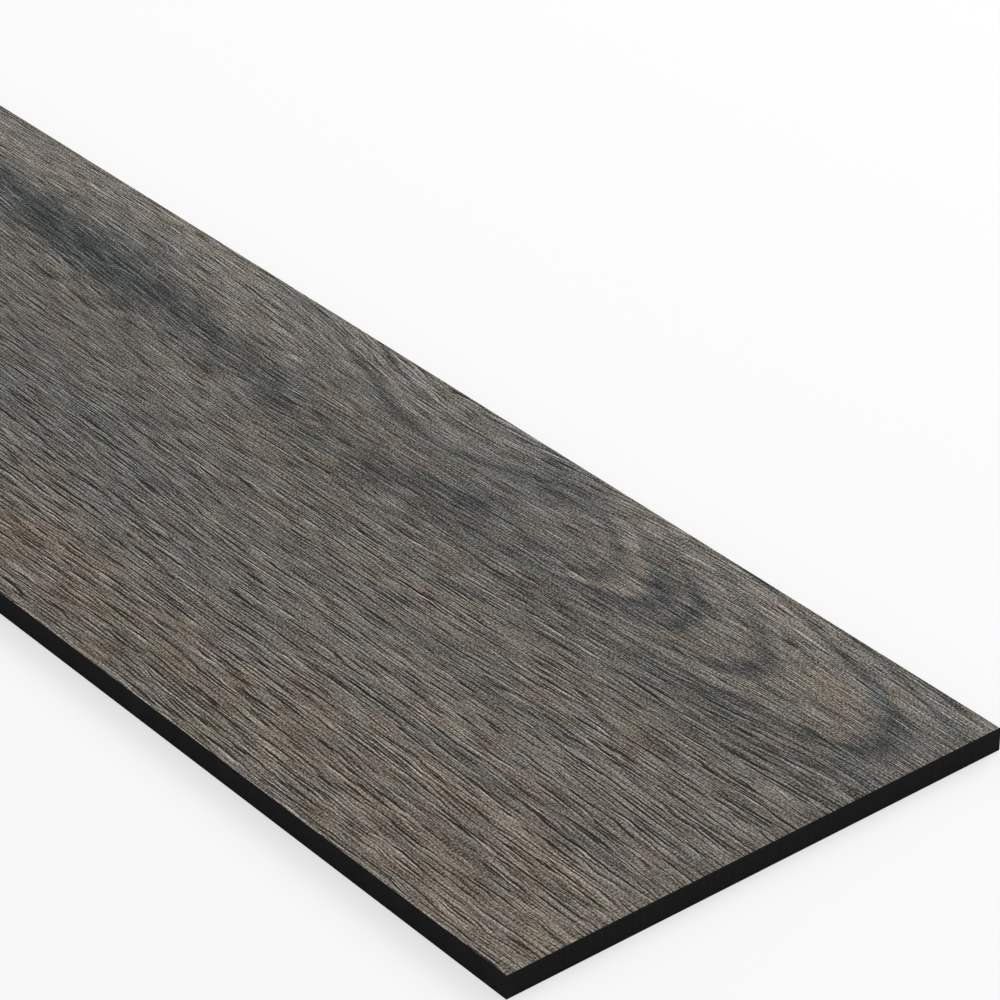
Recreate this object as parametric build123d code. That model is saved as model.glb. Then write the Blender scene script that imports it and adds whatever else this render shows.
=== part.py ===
"""A laminate floor plank, in millimetres.

The plank is one flat pressed board with four plain square edges. Its underside lies on the floor, and its
decor face looks up. The milled edges meet the decor face in a small arris that runs all the way round. The
underside's edges are sharp.

The frame: X runs along the length, Y across the width, Z up. The origin is the middle of the underside.
"""

import os

from build123d import *

# Driving dimensions
LENGTH = 1380.0
WIDTH = 190.0
THICKNESS = 8.0
ARRIS = 0.3  # how far the chamfer round the decor face reaches in from each edge, and down


def cross_section():
    """The board's outline across its width, standing on the XY plane, in the YZ plane."""
    half_width = WIDTH / 2
    shoulder = THICKNESS - ARRIS
    decor_half_width = half_width - ARRIS
    outline = Polyline(
        (-half_width, 0),
        (half_width, 0),
        (half_width, shoulder),
        (decor_half_width, THICKNESS),
        (-decor_half_width, THICKNESS),
        (-half_width, shoulder),
        close=True,
    )
    return Plane.YZ * make_face(outline)


def plank():
    """The section run out along the length, with the arris carried across both ends."""
    board = extrude(cross_section(), amount=LENGTH / 2, both=True)
    decor_face = board.faces().sort_by(Axis.Z)[-1]
    end_edges = decor_face.edges().filter_by(Axis.Y)
    return chamfer(end_edges, length=ARRIS)


def main():
    os.makedirs("parts", exist_ok=True)
    export_step(plank(), "parts/plank.step")


if __name__ == "__main__":
    main()
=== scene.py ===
"""A laminate floor plank: dark oak decor with embossed pores, black sides, a pale floor and soft light.

The decor is laid out in millimetres on a plan of its own: x runs from the near end along the length, and y
from the front long side across the width. The frame has X along the length, Y across and Z up, in metres.
"""

import math

import bpy
import numpy as np
from mathutils import Matrix, Vector
from mathutils.geometry import delaunay_2d_cdt


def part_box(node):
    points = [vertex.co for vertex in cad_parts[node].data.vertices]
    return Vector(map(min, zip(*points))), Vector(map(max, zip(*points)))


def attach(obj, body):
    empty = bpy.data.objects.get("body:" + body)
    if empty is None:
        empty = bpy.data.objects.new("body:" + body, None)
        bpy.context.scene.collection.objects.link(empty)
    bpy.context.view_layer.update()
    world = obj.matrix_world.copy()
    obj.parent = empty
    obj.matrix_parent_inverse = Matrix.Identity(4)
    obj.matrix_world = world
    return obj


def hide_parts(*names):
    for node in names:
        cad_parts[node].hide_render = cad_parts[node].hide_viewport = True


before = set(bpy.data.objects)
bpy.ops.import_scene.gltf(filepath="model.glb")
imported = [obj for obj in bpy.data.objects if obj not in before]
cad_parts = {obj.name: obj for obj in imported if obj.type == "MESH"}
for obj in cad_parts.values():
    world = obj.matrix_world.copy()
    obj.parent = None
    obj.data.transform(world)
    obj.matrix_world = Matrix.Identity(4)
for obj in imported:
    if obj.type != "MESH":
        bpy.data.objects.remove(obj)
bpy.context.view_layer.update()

MM = 0.001

# The plank, in mm, from the frame's own box
low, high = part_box("plank")
LENGTH = (high.x - low.x) / MM
WIDTH = (high.y - low.y) / MM
THICKNESS = (high.z - low.z) / MM
ARRIS = 0.3

# The photograph's camera, in mm from the middle of the underside
CAMERA_PLACE = (1413.1, -688.9, 735.7)
CAMERA_AIM = (495.9, 61.1, 8.0)
CAMERA_ROLL_DEG = 0.12
LENS_MM = 155.07
SENSOR_MM = 36.0
NEAREST_M, FARTHEST_M = 0.05, 50.0

# The floor and the light, in metres and watts
FLOOR_HALF = 8.0
FLOOR_DROP = 0.0002
FLOOR_COLOUR = (0.9, 0.9, 0.9, 1.0)
FLOOR_GLOW = 0.6              # share of plain white in the floor that the camera sees
SURROUND = 0.7                # strength of the even white light from all round
SOFTBOX_SIZE = 1.6
SOFTBOX_POWER = 40.0
SOFTBOX_PLACE = (0.3, 2.2, 1.7)
SOFTBOX_AIM = (0.3, 0.0, 0.0)


def linear(red, green, blue):
    """A colour given as 0 to 255 values on screen, as the shader's own numbers."""
    def one(value):
        value = value / 255
        return value / 12.92 if value <= 0.04045 else ((value + 0.055) / 1.055) ** 2.4
    return (one(red), one(green), one(blue), 1.0)


def between(span, share):
    """The value at that share of the way from a span's first value to its second."""
    return span[0] + (span[1] - span[0]) * share


# Shader numbers


def plug(tree, socket, value):
    """Sets a node's input: linked if the value comes from another node, and written otherwise."""
    if isinstance(value, Number):
        tree.links.new(value.socket, socket)
    elif isinstance(value, bpy.types.NodeSocket):
        tree.links.new(value, socket)
    else:
        socket.default_value = value


class Number:
    """A number that varies over a surface: an output of a shader node, with the usual sums on it."""

    def __init__(self, tree, socket):
        self.tree = tree
        self.socket = socket

    def sum(self, operation, *others):
        """What a Math node makes of this number and the others."""
        node = self.tree.nodes.new("ShaderNodeMath")
        node.operation = operation
        for socket, value in zip(node.inputs, (self, *others)):
            plug(self.tree, socket, value)
        return Number(self.tree, node.outputs[0])

    def __add__(self, other):
        return self.sum("ADD", other)

    __radd__ = __add__

    def __sub__(self, other):
        return self.sum("SUBTRACT", other)

    def __rsub__(self, other):
        return self * -1.0 + other

    def __mul__(self, other):
        return self.sum("MULTIPLY", other)

    __rmul__ = __mul__

    def __truediv__(self, other):
        return self.sum("DIVIDE", other)

    def __pow__(self, other):
        return self.sum("POWER", other)

    def above(self, other):
        """This number, but never under the other."""
        return self.sum("MAXIMUM", other)

    def below(self, other):
        """This number, but never over the other."""
        return self.sum("MINIMUM", other)

    def exp(self):
        """The number e to the power of this one."""
        return self.sum("EXPONENT")

    def rise(self, start, end):
        """0 before start, 1 after end, and smooth between them."""
        node = self.tree.nodes.new("ShaderNodeMapRange")
        node.interpolation_type = "SMOOTHSTEP"
        plug(self.tree, node.inputs["Value"], self)
        node.inputs["From Min"].default_value = start
        node.inputs["From Max"].default_value = end
        return Number(self.tree, node.outputs["Result"])


def sine(value):
    """The sine of a shader number or of plain numbers."""
    return value.sum("SINE") if isinstance(value, Number) else np.sin(value)


def mound(along, across):
    """1 at the middle, falling smoothly to 0 all round. It takes shader numbers or plain ones."""
    fall = (along * along + across * across) * -1.0
    return fall.exp() if isinstance(fall, Number) else np.exp(fall)


def vector(x, y, z=0.0):
    """Three shader numbers as one vector or colour."""
    node = x.tree.nodes.new("ShaderNodeCombineXYZ")
    for socket, value in zip(node.inputs, (x, y, z)):
        plug(x.tree, socket, value)
    return node.outputs[0]


NOISE_GAIN = 9.0
LAYER_STEP = (37.3, 23.7)     # how far apart the layers of noise lie, in blobs


def noise(x, y, along, across, layer, detail=1.0):
    """Smooth noise about 0, mostly from -1.5 to 1.5, in blobs of that many mm, a new one for each layer."""
    node = x.tree.nodes.new("ShaderNodeTexNoise")
    node.noise_dimensions = "2D"
    place = vector(x / along + layer * LAYER_STEP[0], y / across + layer * LAYER_STEP[1])
    plug(x.tree, node.inputs["Vector"], place)
    node.inputs["Scale"].default_value = 1.0
    node.inputs["Detail"].default_value = detail
    return (Number(x.tree, node.outputs["Fac"]) - 0.5) * NOISE_GAIN


def ramp(value, stops, interpolation="LINEAR"):
    """The colour at a value from 0 to 1 between stops of (value, colour)."""
    node = value.tree.nodes.new("ShaderNodeValToRGB")
    elements = node.color_ramp.elements
    node.color_ramp.interpolation = interpolation
    while len(elements) < len(stops):
        elements.new(0.5)
    for element, (place, colour) in zip(elements, stops):
        element.position = place
        element.color = colour
    plug(value.tree, node.inputs[0], value)
    return node.outputs["Color"]


def levels(value, stops):
    """The number at a value from 0 to 1 between stops of (value, number from 0 to 1)."""
    colour = ramp(value, [(place, (level, level, level, 1.0)) for place, level in stops], "EASE")
    parts = value.tree.nodes.new("ShaderNodeSeparateColor")
    value.tree.links.new(colour, parts.inputs[0])
    return Number(value.tree, parts.outputs[0])


DARKEST = 6.0


def on_screen(red, green, blue):
    """The colour that shows with these values on screen, from 0 to 255."""
    parts = []
    for value in (red, green, blue):
        share = value.above(DARKEST) / 255.0
        parts.append(((share + 0.055) / 1.055) ** 2.4)
    return vector(*parts)


def new_material(name):
    """An empty material with its tree and its shader node."""
    material = bpy.data.materials.new(name)
    material.use_nodes = True
    tree = material.node_tree
    return material, tree, tree.nodes["Principled BSDF"]


def plan(tree):
    """The decor's plan coordinates and the height over the underside, in mm."""
    place = tree.nodes.new("ShaderNodeTexCoord")
    parts = tree.nodes.new("ShaderNodeSeparateXYZ")
    tree.links.new(place.outputs["Object"], parts.inputs[0])
    x = LENGTH / 2 - Number(tree, parts.outputs["X"]) / MM
    y = Number(tree, parts.outputs["Y"]) / MM + WIDTH / 2
    return x, y, Number(tree, parts.outputs["Z"]) / MM


# The figure of the decor

# Waves of the grain: (mm along for one radian, mm across for one radian, shift in radians, height in mm)
WAVES = ((47.0, 23.0, 0.0, 1.0), (19.0, -13.0, 1.3, 0.35), (6.5, 5 / 3, 0.0, 0.18))
# Bends of the grain: (x, y, half length, half width, how far the grain dips, in mm)
BENDS = (
    (290, 122, 170, 35, 12.0), (235, 178, 85, 20, 12.0), (0, 142, 80, 16, -8.0),
    (760, 60, 190, 38, -11.0), (1010, 130, 150, 30, 9.0),
)


def grain_line(x, y):
    """The number that stays the same along a grain line. It is y where the grain runs straight."""
    line = y
    for along, across, shift, height in WAVES:
        line = line + sine(x / along + y / across + shift) * height
    for middle_x, middle_y, half_length, half_width, dip in BENDS:
        line = line + mound((x - middle_x) / half_length, (y - middle_y) / half_width) * dip
    return line


# The far half of the decor repeats the near half's figure, turned round about this place
TURN_X = 620.0
TURN_STEP = 0.01

# Growth rings as arches. Where each crosses their axis: (mm from the near end, lightness from 0 to 1)
ARCH_AXIS = 153.0
ARCH_TONES = (
    (-130, 0.50), (-118, 0.32), (-106, 0.50), (-80, 0.52), (-66, 0.26), (-52, 0.54), (-36, 0.52),
    (-24, 0.22), (-14, 0.50), (2, 0.52), (9, 0.30), (16, 0.02), (21, 0.34), (25, 0.58), (36, 0.63),
    (60, 0.60), (66, 0.34), (71, 0.14), (76, 0.42), (82, 0.64), (94, 0.58), (98, 0.20), (102, 0.04),
    (107, 0.44), (117, 0.12), (121, 0.04), (125, 0.40), (128, 0.80), (134, 0.60), (140, 0.28),
    (146, 0.62), (160, 0.50),
)
# An arch's radius at its nose, and the distance from the axis where it turns along the grain, in mm
ARCH_BACK = (28.0, 14.0)
ARCH_FRONT = (5.0, 9.0)
ARCH_GAIN = 1.55
# All rings fade along the plank. Off the axis on each side, the inner ones fade too: the span of distances
# from the axis, and the span along it, in mm
ARCH_FADE = (150.0, 330.0)
BACK_FADE = ((13.0, 27.0), (40.0, 70.0))
FRONT_FADE = ((5.0, 13.0), (30.0, 60.0))

# Growth rings as a valley. Up from its floor: (mm, lightness from 0 to 1)
VALLEY_FLOOR = (240.0, 163.0)
VALLEY_REACH = 30.0
VALLEY_TONES = (
    (0, 0.5), (3, 0.42), (5, 0.12), (7.5, 0.40), (10, 0.66), (12, 0.45), (14, 0.62), (17, 0.25),
    (19, 0.52), (22, 0.62), (25, 0.35), (27, 0.55), (30, 0.5),
)
VALLEY_UNDER = 5.0            # how far below the floor the rings start, in mm
VALLEY_CLIMB = 26.0           # how far the floor climbs away from the near end, in mm
VALLEY_FAR = 65.0             # how slowly it climbs that way, and how slowly towards the near end, in mm
VALLEY_NEAR = 19.6
VALLEY_MIDDLE = 275.0         # where its rings are strongest, and how far along they reach, in mm
VALLEY_LENGTH = 75.0
VALLEY_GAIN = 1.7

# Noise that strays the figure, bands it and tints it: (mm along, mm across, layer)
RAGGED_SLOW = (26.0, 8.0, 3)
RAGGED_FINE = (9.0, 0.8, 4)
RAGGED_ACROSS = (40.0, 12.0, 5)
BROAD_BANDS = (80.0, 9.0, 6)
NARROW_BANDS = (120.0, 2.6, 7)
WARM_DRIFT = (24.0, 9.0, 10)
GREEN_DRIFT = (16.0, 7.0, 11)

# Soft patches: (x, y, half length, half width, rise of y over x, lightness added)
PATCHES = (
    (188, 177, 20, 8, 0.0, -0.50), (199, 153, 8, 9, 0.0, -0.46), (163, 168, 6, 3, 0.0, -0.30),
    (166, 149, 9, 2.5, 0.0, -0.30), (157, 179, 9, 5, 0.0, 0.34), (172, 160, 16, 5, 0.0, 0.14),
    (228, 141, 40, 2.5, 0.0, -0.28), (262, 131, 30, 2.5, -0.17, -0.24), (290, 138, 7, 2.5, 0.0, -0.35),
    (262, 152, 30, 7, 0.0, 0.10), (345, 167, 34, 8, 0.1, 0.22), (505, 172, 60, 9, 0.0, 0.24),
    (372, 148, 16, 6, 0.0, -0.30), (340, 149, 50, 8, 0.1, -0.26), (425, 152, 72, 12, 0.08, -0.62),
    (440, 151, 40, 6, 0.06, -0.34), (420, 65, 130, 60, 0.0, -0.14), (150, 182, 200, 8, 0.0, 0.08),
    (505, 158, 40, 8, 0.0, -0.20), (295, 68, 60, 9, 0.05, -0.20), (205, 85, 34, 6, 0.0, -0.18),
    (315, 90, 65, 14, 0.05, -0.06), (95, 87, 60, 5, -0.03, -0.16), (95, 55, 60, 4, 0.0, -0.22),
    (50, 44, 70, 5, 0.0, 0.26), (110, 62, 60, 2.5, 0.0, 0.22), (42, 26, 14, 3, 0.0, -0.34),
    (50, 12, 60, 7, 0.0, 0.10), (180, 15, 40, 3, 0.0, -0.24), (235, 139, 70, 12, -0.04, -0.30),
    (70, 125, 120, 10, -0.05, -0.16), (0, 90, 35, 80, 0.0, -0.09), (230, 146, 330, 24, 0.0, -0.22),
    (430, 182, 170, 13, 0.0, 0.22), (70, 183, 90, 7, 0.0, 0.14), (330, 124, 60, 6, 0.0, 0.06),
)
# Small marks, in the same form but with on-screen lightness: pale flecks, and a nick with a bright speck
MARKS = (
    (311, 160, 3.5, 0.7, 0.0, 50), (435, 162, 3.0, 0.8, 0.1, 44), (465, 162, 4.0, 0.6, 0.0, 40),
    (445, 156, 5.5, 0.6, 0.1, 40), (468, 153, 3.5, 0.6, 0.0, 35), (410, 153, 7.0, 0.6, 0.25, 32),
    (404, 149, 6.0, 0.6, -0.3, 32), (73, 172.3, 3.2, 0.9, -0.1, -75), (68.5, 171, 1.3, 0.5, 0.0, 45),
)
# Warmer and cooler patches, in the same form: warmth added
WARMTHS = (
    (200, 16, 400, 34, 0.0, 1.1), (270, 25, 26, 12, 0.0, 1.1), (50, 43, 60, 6, 0.0, 0.7),
    (110, 62, 70, 3, 0.0, 0.7), (152, 168, 26, 14, 0.0, 0.7), (262, 152, 24, 9, 0.0, 1.0),
    (258, 11, 12, 5, 0.0, -0.8), (310, 80, 66, 22, 0.05, -1.1), (372, 148, 36, 10, 0.0, -0.2),
    (205, 85, 30, 6, 0.0, -0.8), (95, 88, 40, 5, 0.0, -0.6), (45, 158, 26, 9, 0.0, 0.8),
    (193, 172, 26, 14, 0.0, -0.9), (430, 153, 60, 12, 0.08, -0.8), (470, 70, 120, 40, 0.0, -0.5),
    (60, 108, 90, 10, 0.0, 0.5), (150, 90, 150, 18, 0.0, 0.4), (0, 60, 80, 70, 0.0, 0.5),
    (300, 180, 400, 16, 0.0, -0.8), (200, 20, 300, 16, 0.0, 0.3), (250, 127, 60, 14, 0.0, 0.7),
    (470, 110, 110, 60, 0.0, -0.1), (225, 50, 40, 25, 0.0, -0.4),
)
# The cloud's green tinge, in the same form
GREENS = ((425, 152, 76, 13, 0.0, 1.5),)


def turned(x, y):
    """The place on the near half whose figure shows here."""
    far = x.rise(TURN_X - TURN_STEP, TURN_X + TURN_STEP)
    return x + (TURN_X * 2 - x * 2.0) * far, y + (WIDTH - y * 2.0) * far


def patches(x, y, places):
    """Soft ovals added up, each 1 times its gain in the middle and 0 well outside."""
    total = 0.0
    for middle_x, middle_y, half_length, half_width, slope, gain in places:
        along = x - middle_x
        across = y - middle_y - along * slope
        total = mound(along / half_length, across / half_width) * gain + total
    return total


def swing(off_axis, nose_radius, turn):
    """How far an arch has bent back off its axis: round at the nose, and steep past the turn."""
    return off_axis * off_axis / nose_radius + (off_axis / turn) ** 4.0


def arches(x, y):
    """Growth rings, light and dark about 0, nested with their blunt noses to the near end."""
    upper = (y - ARCH_AXIS).above(0.0)
    lower = (ARCH_AXIS - y).above(0.0)
    nose = x - (swing(upper, *ARCH_BACK) + swing(lower, *ARCH_FRONT))
    first, last = ARCH_TONES[0][0], ARCH_TONES[-1][0]
    stops = [((place - first) / (last - first), level) for place, level in ARCH_TONES]
    ring = levels(((nose - first) / (last - first)).above(0.0).below(1.0), stops) - 0.5
    fade = 1.0 - x.rise(*ARCH_FADE) * 0.6
    upper_fade = 1.0 - upper.rise(*BACK_FADE[0]) * nose.rise(*BACK_FADE[1]) * 0.7
    lower_fade = 1.0 - lower.rise(*FRONT_FADE[0]) * nose.rise(*FRONT_FADE[1]) * 0.7
    return ring * (fade * upper_fade * lower_fade)


def valley(x, y):
    """Growth rings, light and dark about 0, that sag between the arches and the next figure."""
    far = (x - VALLEY_FLOOR[0]).above(0.0) / VALLEY_FAR
    near = (VALLEY_FLOOR[0] - x).above(0.0) / VALLEY_NEAR
    floor_y = (1.0 - (far * far * -1.0).exp()) * VALLEY_CLIMB + near ** 3.0 + VALLEY_FLOOR[1]
    up = (y - floor_y + VALLEY_UNDER) / VALLEY_REACH
    stops = [(place / VALLEY_REACH, level) for place, level in VALLEY_TONES]
    fade = mound((x - VALLEY_MIDDLE) / VALLEY_LENGTH, y * 0.0)
    return (levels(up.above(0.0).below(1.0), stops) - 0.5) * fade


def figure(x, y, grain, ragged_x, ragged_y):
    """The slow light and dark of the print, about 0: growth rings, soft patches and bands."""
    rings = arches(ragged_x, ragged_y) * ARCH_GAIN + valley(ragged_x, ragged_y) * VALLEY_GAIN
    bands = noise(x, grain, *BROAD_BANDS) * 0.04 + noise(x, grain, *NARROW_BANDS) * 0.06
    return rings + patches(ragged_x, ragged_y, PATCHES) + bands


# The fine grain's noise: (mm along, mm across, layer, and the detail where it isn't 1)
STRAY = (7.0, 3.0, 22, 0.0)
FIBRE = (9.0, 0.7, 8)
HAIR = (18.0, 0.5, 18)
GRIT = (0.8, 0.5, 12, 0.0)
# Its dark lines: (radians for a mm across, then mm along and across and the layer of what varies them)
WIDE_LINES = (3.4, 36.0, 3.8, 16)
NARROW_LINES = (5.2, 24.0, 2.8, 23)

# A pair holds the values in the fine zone and in the coarse zone, and a tone is on-screen lightness
PRINT_TURNS_FINE = (100.0, 145.0)     # the grain lines between which the print goes from coarse to fine
WANDER = (0.02, 0.11)                 # how far the lines stray from the grain, in mm
WIDE_STRENGTH = (0.2, 1.0)
NARROW_STRENGTH = (1.0, 0.5)
HAIR_TONE = (23.0, 18.0)
GRIT_TONE = (22.0, 20.0)
FIBRE_TONE = 5.0
WIDE_TONE = 185.0
NARROW_TONE = 175.0
# The painted highlight along the grooves' front lips, in on-screen lightness
LIP_HIGHLIGHT_TONE = 100.0
GROOVE_TONE = 125.0
GROOVE_EDGE = (0.15, 0.6)             # the pore values between which a groove goes fully dark
BRIGHT_CUT = 0.35                     # the share taken off what stands out brighter than the print: painted highlights and pale speckle alike
LINE_POWER = 8.0                      # the higher, the thinner the lines
LINE_DRIFT = 1.1                      # how far noise moves them, in radians
LINE_MEAN = 0.12                      # what brings their mean to 0
HIGHLIGHT_SHIFT = 1.3                       # how far off their painted highlight lies, in radians
HIGHLIGHT_SHARE = 0.25                      # the painted highlight's strength beside the dark line's
STRENGTH_LAYERS = 50                  # how far on the layer of their strength is

# The print's colour: lightness on screen, red over blue, and green over both
MIDDLE_TONE = 93.0
FIGURE_TONE = 46.0
MIDDLE_WARMTH = 13.5
FIGURE_WARMTH = 16.0
PATCH_WARMTH = 5.0
PALE_WARMTH = -0.06                   # warmth for each unit of lightness over the pale level
PALE_LEVEL = 98.0
MIDDLE_GREEN = 1.4
DECOR_ROUGHNESS = 0.6
DECOR_SHINE = 0.2
BUMP_MM = 0.04


def ripple(x, line, rate, along, across, layer):
    """Thin dark lines along the grain, each with a painted highlight along its front, and 0 on the whole.
    """
    phase = line * rate + noise(x, line, along, across, layer) * LINE_DRIFT
    strength = noise(x, line, along, across * 0.5, layer + STRENGTH_LAYERS).rise(-1.3, 1.3)
    dark = (sine(phase) * 0.5 + 0.5) ** LINE_POWER
    # The rim is a painted highlight: the lighter groove wall that light from behind would show beside each
    # dark line
    rim = (sine(phase + HIGHLIGHT_SHIFT) * 0.5 + 0.5) ** LINE_POWER
    return (rim * HIGHLIGHT_SHARE - dark + LINE_MEAN) * strength


def fine_grain(x, y, grain):
    """The grain that is too fine for the mesh: its tone about 0, with painted highlights beside its dark
    lines, and its height for the bump.
    """
    coarse = 1.0 - grain.rise(*PRINT_TURNS_FINE)
    wavy = grain + noise(x, y, *STRAY) * between(WANDER, coarse)
    wide = ripple(x, wavy, *WIDE_LINES) * between(WIDE_STRENGTH, coarse)
    narrow = ripple(x, wavy, *NARROW_LINES) * between(NARROW_STRENGTH, coarse)
    fibre = noise(x, wavy, *FIBRE)
    hair = noise(x, wavy, *HAIR)
    grit = noise(x, y, *GRIT)
    speckle = fibre * FIBRE_TONE + hair * between(HAIR_TONE, coarse) + grit * between(GRIT_TONE, coarse)
    height = fibre * 0.5 + grit * 0.3 + wide * 1.5
    return speckle + wide * WIDE_TONE + narrow * NARROW_TONE, height


def groove_tone(tree):
    """The tone of the mesh's grooves, dark at the bottom, with a painted highlight along the front lip."""
    attribute = tree.nodes.new("ShaderNodeAttribute")
    attribute.attribute_name = "pore"
    pore = Number(tree, attribute.outputs["Fac"])
    return pore.below(0.0) * -LIP_HIGHLIGHT_TONE - pore.above(0.0).rise(*GROOVE_EDGE) * GROOVE_TONE


def decor():
    """The printed and embossed oak of the top."""
    material, tree, shader = new_material("oak_decor")
    x, y, _ = plan(tree)
    grain = grain_line(x, y)
    near_x, near_y = turned(x, y)
    ragged_x = near_x + noise(x, y, *RAGGED_SLOW) * 1.1 + noise(x, grain, *RAGGED_FINE)
    ragged_y = near_y + noise(x, y, *RAGGED_ACROSS) * 0.4

    tone = figure(x, y, grain, ragged_x, ragged_y)
    fine, height = fine_grain(x, y, grain)
    # The printed dark lines, pores and speckle, with the painted highlights beside the lines and along the
    # grooves' front lips
    grain_and_highlights = fine + groove_tone(tree)
    grain_and_highlights = grain_and_highlights - grain_and_highlights.above(0.0) * BRIGHT_CUT
    lightness = grain_and_highlights + patches(near_x, near_y, MARKS) + tone * FIGURE_TONE + MIDDLE_TONE

    warmth = patches(ragged_x, ragged_y, WARMTHS) + noise(x, y, *WARM_DRIFT) * 0.4
    warm = tone * FIGURE_WARMTH + warmth * PATCH_WARMTH + MIDDLE_WARMTH
    warm = warm + (lightness - PALE_LEVEL) * PALE_WARMTH
    green = noise(x, y, *GREEN_DRIFT) * 0.7 + patches(near_x, near_y, GREENS) + MIDDLE_GREEN
    ends = lightness - green / 3.0
    base = on_screen(ends + warm * 0.5, lightness + green * 2.0 / 3.0, ends - warm * 0.5)
    tree.links.new(base, shader.inputs["Base Color"])

    shader.inputs["Roughness"].default_value = DECOR_ROUGHNESS
    shader.inputs["Specular IOR Level"].default_value = DECOR_SHINE
    bump = tree.nodes.new("ShaderNodeBump")
    bump.inputs["Distance"].default_value = BUMP_MM * MM
    plug(tree, bump.inputs["Height"], height)
    tree.links.new(bump.outputs[0], shader.inputs["Normal"])
    return material


# The core's greys, from dark to light, on screen, and its noise: (mm along, mm across, layer, detail)
CORE_GREYS = ((0.0, 21), (0.5, 27), (1.0, 36))
MILLED_FACE = (9.0, 1.4, 20, 2.0)
MILLED_SIDE = (6.0, 0.35, 21, 1.0)
CORE_ROUGHNESS = 0.9
CORE_SHINE = 0.05


def core():
    """The black sides and underside: pressed fibre, milled, with a faint grain of its own."""
    material, tree, shader = new_material("black_core")
    x, y, z = plan(tree)
    milled = noise(x, y, *MILLED_FACE) + noise(x + y, z, *MILLED_SIDE)
    base = ramp(milled * 0.07 + 0.5, [(place, linear(grey, grey, grey)) for place, grey in CORE_GREYS])
    tree.links.new(base, shader.inputs["Base Color"])
    shader.inputs["Roughness"].default_value = CORE_ROUGHNESS
    shader.inputs["Specular IOR Level"].default_value = CORE_SHINE
    return material


# The pores: fine grooves along the grain, pressed into the top

PORE_SEED = 5
LANE = 1.25                   # mm between one line of pores and the next
LANE_MARGIN = 25.0            # mm beyond the sides, where bends bring lanes in
LANE_START = (-10.0, 4.0)     # where a lane's first pore starts
EDGE_ROOM = 1.0               # mm kept free along the edges of the top
PORES_TURN_FINE = (105.0, 140.0)
STRONG_SHARE = (0.25, 0.8)    # of the coarse pores in even lanes, and in odd ones
# Each kind's length, the gap after it, its strength and its width, in mm. Strength 1 is the full depth
STRONG_PORE = ((9.0, 34.0), (0.8, 6.0), (0.55, 1.2), (0.85, 1.15))
WEAK_PORE = ((9.0, 34.0), (0.8, 6.0), (0.15, 0.5), (0.6, 0.8))
FINE_PORE = ((4.0, 16.0), (1.0, 12.0), (0.15, 0.65), (0.6, 0.9))
# A pore's shift off its lane and its sway, in mm, and where the sway starts, in radians
SHIFT, SWAY, SWAY_START = (-0.15, 0.15), (-0.2, 0.2), (0.0, 3.0)
SWAY_TURN = 6.0               # how far the sway turns along a pore, in radians
GROOVE_DEPTH = 0.12           # mm
# A pore value over 0 is a share of that depth, and one under 0 is a lip with a painted highlight, lighter
# than the print
NEAR_LIP_HIGHLIGHT = -0.45              # for a pore of strength 1
FAR_LIP = 0.04
# How many stations a pore has along its length, from this length in mm up to this one
STATIONS = ((1, 0.0, 6.0), (2, 6.0, 14.0), (3, 14.0, 24.0), (4, 24.0, 100.0))
SQUEEZE = (0.4, 1.2)          # the least and most that bends may change a pore's width
# The search for a grain line's y: its steps, and the share of the miss that each makes up
SEARCH_STEPS = 25
SEARCH_PACE = 0.7


def coarseness(line):
    """1 where the pores are long and deep, as along the front, and 0 where they are short and fine."""
    start, end = PORES_TURN_FINE
    return 1.0 - min(max((line - start) / (end - start), 0.0), 1.0)


def lay_pores():
    """Where the pores lie, one row each: x, grain line, length, width, strength, sway and phase."""
    chance = np.random.default_rng(PORE_SEED)
    rows = []
    for number, line in enumerate(np.arange(-LANE_MARGIN, WIDTH + LANE_MARGIN, LANE)):
        x = chance.uniform(*LANE_START)
        while x < LENGTH:
            kind = FINE_PORE
            if chance.random() < coarseness(line):
                kind = STRONG_PORE if chance.random() < STRONG_SHARE[number % 2] else WEAK_PORE
            length, gap, strength, width = (chance.uniform(*span) for span in kind)
            shift, sway, phase = (chance.uniform(*span) for span in (SHIFT, SWAY, SWAY_START))
            if EDGE_ROOM < x < LENGTH - length - EDGE_ROOM:
                rows.append((x, line + shift, length, width, strength, sway, phase))
            x += length + gap
    return np.array(rows)


def grain_height(x, line):
    """The y at which a grain line passes x."""
    y = line.copy()
    for _ in range(SEARCH_STEPS):
        y = y - SEARCH_PACE * (grain_line(x, y) - line)
    return y


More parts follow.
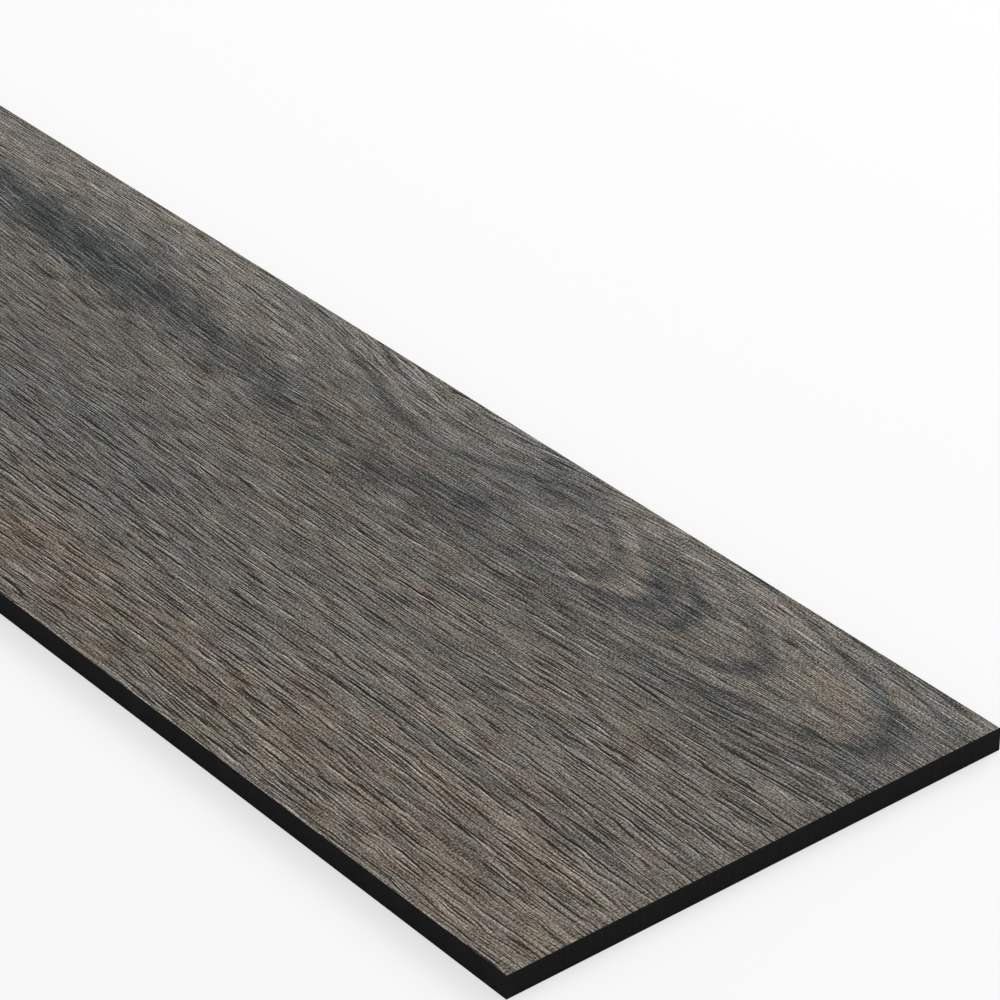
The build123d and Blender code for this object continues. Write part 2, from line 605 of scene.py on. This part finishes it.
def pore_points(rows):
    """The grooves' corners on the decor's plan, the edges between them, and each corner's pore value."""
    points, edges, values = [], [], []
    for stations, shortest, longest in STATIONS:
        some = rows[(rows[:, 2] >= shortest) & (rows[:, 2] < longest)]
        x, line, length, width, strength, sway, phase = (column[:, None] for column in some.T)
        steps = np.arange(stations + 2) / (stations + 1)
        along = x + steps * length
        middle = grain_height(along, line + sway * np.sin(phase + steps * SWAY_TURN))
        spread = grain_line(along, middle + 0.5) - grain_line(along, middle - 0.5)
        half = width / 2 * np.sqrt(np.sin(math.pi * steps)) * np.clip(1.0 / spread, *SQUEEZE)
        inside = (middle.min(axis=1) > EDGE_ROOM) & (middle.max(axis=1) < WIDTH - EDGE_ROOM)
        inner = range(1, stations + 1)
        for k in np.flatnonzero(inside):
            start = len(points)
            points.append((along[k, 0], middle[k, 0]))
            points += [(along[k, i], middle[k, i] - half[k, i]) for i in inner]
            points.append((along[k, -1], middle[k, -1]))
            points += [(along[k, i], middle[k, i] + half[k, i]) for i in reversed(inner)]
            points += [(along[k, i], middle[k, i]) for i in inner]
            force = strength[k, 0]
            values += [0.0] + [NEAR_LIP_HIGHLIGHT * force] * stations
            values += [0.0] + [FAR_LIP] * stations + [force] * stations
            count = 2 * stations + 2
            edges += [(start + i, start + (i + 1) % count) for i in range(count)]
            bottom = [start] + [start + count + i for i in range(stations)] + [start + stations + 1]
            edges += list(zip(bottom, bottom[1:]))
    return points, edges, values


# The plank's skin

# Where its parts lie on the texture map: the lowest and highest U of all, and of V for each
MAP_ALONG = (0.005, 0.995)
MAP_TOP = (0.16, 0.995)
MAP_UNDERSIDE = (0.005, 0.05)
MAP_SIDES = ((0.06, 0.08), (0.11, 0.13), (0.085, 0.105), (0.135, 0.155))
END_SIDES = (1, 3)
WELD_MM = 1e-7


def outline(inset):
    """The plank's four corners on the decor's plan, that far in from its sides."""
    far_x, far_y = LENGTH - inset, WIDTH - inset
    return [(inset, inset), (far_x, inset), (far_x, far_y), (inset, far_y)]


def grooved_top():
    """The top's vertices, triangles and pore values, and which vertices are its four corners."""
    points, edges, values = pore_points(lay_pores())
    first = len(points)
    points += outline(ARRIS)
    edges += [(first + k, first + (k + 1) % 4) for k in range(4)]
    values += [0.0] * 4
    flat, _, faces, origins, _, _ = delaunay_2d_cdt([Vector(p) for p in points], edges, [], 1, WELD_MM)
    pore = [values[ids[0]] if ids else 0.0 for ids in origins]
    vertices = [(p.x, p.y, THICKNESS - GROOVE_DEPTH * min(max(v, 0.0), 1.0)) for p, v in zip(flat, pore)]
    made_from = {i: number for number, ids in enumerate(origins) for i in ids}
    return vertices, [tuple(face) for face in faces], pore, [made_from[first + k] for k in range(4)]


def texture_place(vertex, part):
    """Where a corner of one part of the skin lies on the texture map."""
    x, y, z = vertex
    if part == "top":
        return between(MAP_ALONG, x / LENGTH), between(MAP_TOP, y / WIDTH)
    if part == "underside":
        return between(MAP_ALONG, x / LENGTH), between(MAP_UNDERSIDE, y / WIDTH)
    share = y / WIDTH if part in END_SIDES else x / LENGTH
    return between(MAP_ALONG, share), between(MAP_SIDES[part], z / THICKNESS)


def plank():
    """The dressed plank as one closed mesh."""
    vertices, polygons, pore, rim = grooved_top()
    parts = ["top"] * len(polygons)
    shoulder = [len(vertices) + k for k in range(4)]
    vertices += [(x, y, THICKNESS - ARRIS) for x, y in outline(0.0)]
    foot = [len(vertices) + k for k in range(4)]
    vertices += [(x, y, 0.0) for x, y in outline(0.0)]
    pore += [0.0] * len(shoulder + foot)
    for k in range(4):
        n = (k + 1) % 4
        polygons.append((rim[n], rim[k], shoulder[k], shoulder[n]))
        polygons.append((shoulder[n], shoulder[k], foot[k], foot[n]))
        parts += [k, k]
    polygons.append(tuple(reversed(foot)))
    parts.append("underside")

    mesh = bpy.data.meshes.new("plank_dressed")
    places = [((LENGTH / 2 - x) * MM, (y - WIDTH / 2) * MM, z * MM) for x, y, z in vertices]
    mesh.from_pydata(places, [], [face[::-1] for face in polygons])
    mesh.materials.append(decor())
    mesh.materials.append(core())
    mesh.polygons.foreach_set("material_index", [0 if part == "top" else 1 for part in parts])
    mesh.attributes.new("pore", "FLOAT", "POINT").data.foreach_set("value", pore)
    texture_map = []
    for face, part in zip(polygons, parts):
        for number in face[::-1]:
            texture_map += texture_place(vertices[number], part)
    mesh.uv_layers.new(name="OFBake").data.foreach_set("uv", texture_map)
    mesh.validate()
    mesh.update()
    piece = bpy.data.objects.new("plank_dressed", mesh)
    bpy.context.scene.collection.objects.link(piece)
    return piece


# Floor, light and camera


def floor():
    """A plain pale floor that the camera sees nearly white, and that keeps the plank's shadow."""
    mesh = bpy.data.meshes.new("floor")
    sides = [(-1, -1), (1, -1), (1, 1), (-1, 1)]
    corners = [(x * FLOOR_HALF, y * FLOOR_HALF, -FLOOR_DROP) for x, y in sides]
    mesh.from_pydata(corners, [], [(0, 1, 2, 3)])
    material = bpy.data.materials.new("pale_floor")
    material.use_nodes = True
    tree = material.node_tree
    tree.nodes.clear()
    diffuse = tree.nodes.new("ShaderNodeBsdfDiffuse")
    diffuse.inputs["Color"].default_value = FLOOR_COLOUR
    glow = tree.nodes.new("ShaderNodeEmission")
    mix = tree.nodes.new("ShaderNodeMixShader")
    path = tree.nodes.new("ShaderNodeLightPath")
    plug(tree, mix.inputs[0], Number(tree, path.outputs["Is Camera Ray"]) * FLOOR_GLOW)
    tree.links.new(diffuse.outputs[0], mix.inputs[1])
    tree.links.new(glow.outputs[0], mix.inputs[2])
    output = tree.nodes.new("ShaderNodeOutputMaterial")
    tree.links.new(mix.outputs[0], output.inputs[0])
    mesh.materials.append(material)
    ground = bpy.data.objects.new("floor", mesh)
    bpy.context.scene.collection.objects.link(ground)


def light():
    """Even white light from all round, seen as plain white, and one soft box behind the plank."""
    world = bpy.data.worlds.new("studio")
    bpy.context.scene.world = world
    world.use_nodes = True
    tree = world.node_tree
    background = tree.nodes["Background"]
    path = tree.nodes.new("ShaderNodeLightPath")
    seen = Number(tree, path.outputs["Is Camera Ray"])
    background.inputs["Color"].default_value = (1.0, 1.0, 1.0, 1.0)
    plug(tree, background.inputs["Strength"], between((SURROUND, 1.0), seen))
    lamp = bpy.data.lights.new("back_softbox", "AREA")
    lamp.size = SOFTBOX_SIZE
    lamp.energy = SOFTBOX_POWER
    box = bpy.data.objects.new("back_softbox", lamp)
    box.location = SOFTBOX_PLACE
    box.rotation_mode = "QUATERNION"
    box.rotation_quaternion = (Vector(SOFTBOX_AIM) - box.location).to_track_quat("-Z", "Y")
    bpy.context.scene.collection.objects.link(box)


def camera():
    """The photograph's camera."""
    data = bpy.data.cameras.new("camera")
    data.lens = LENS_MM
    data.sensor_width = SENSOR_MM
    data.sensor_fit = "HORIZONTAL"
    data.clip_start = NEAREST_M
    data.clip_end = FARTHEST_M
    eye = bpy.data.objects.new("camera", data)
    place = Vector(CAMERA_PLACE) * MM
    aim = Vector(CAMERA_AIM) * MM
    look = (aim - place).to_track_quat("-Z", "Y").to_matrix().to_4x4()
    roll = Matrix.Rotation(math.radians(CAMERA_ROLL_DEG), 4, "Z")
    eye.matrix_world = Matrix.Translation(place) @ look @ roll
    bpy.context.scene.collection.objects.link(eye)
    bpy.context.scene.camera = eye


piece = plank()
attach(piece, "root")
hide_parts("plank")
floor()
light()
camera()
bpy.context.scene.view_settings.view_transform = "Standard"
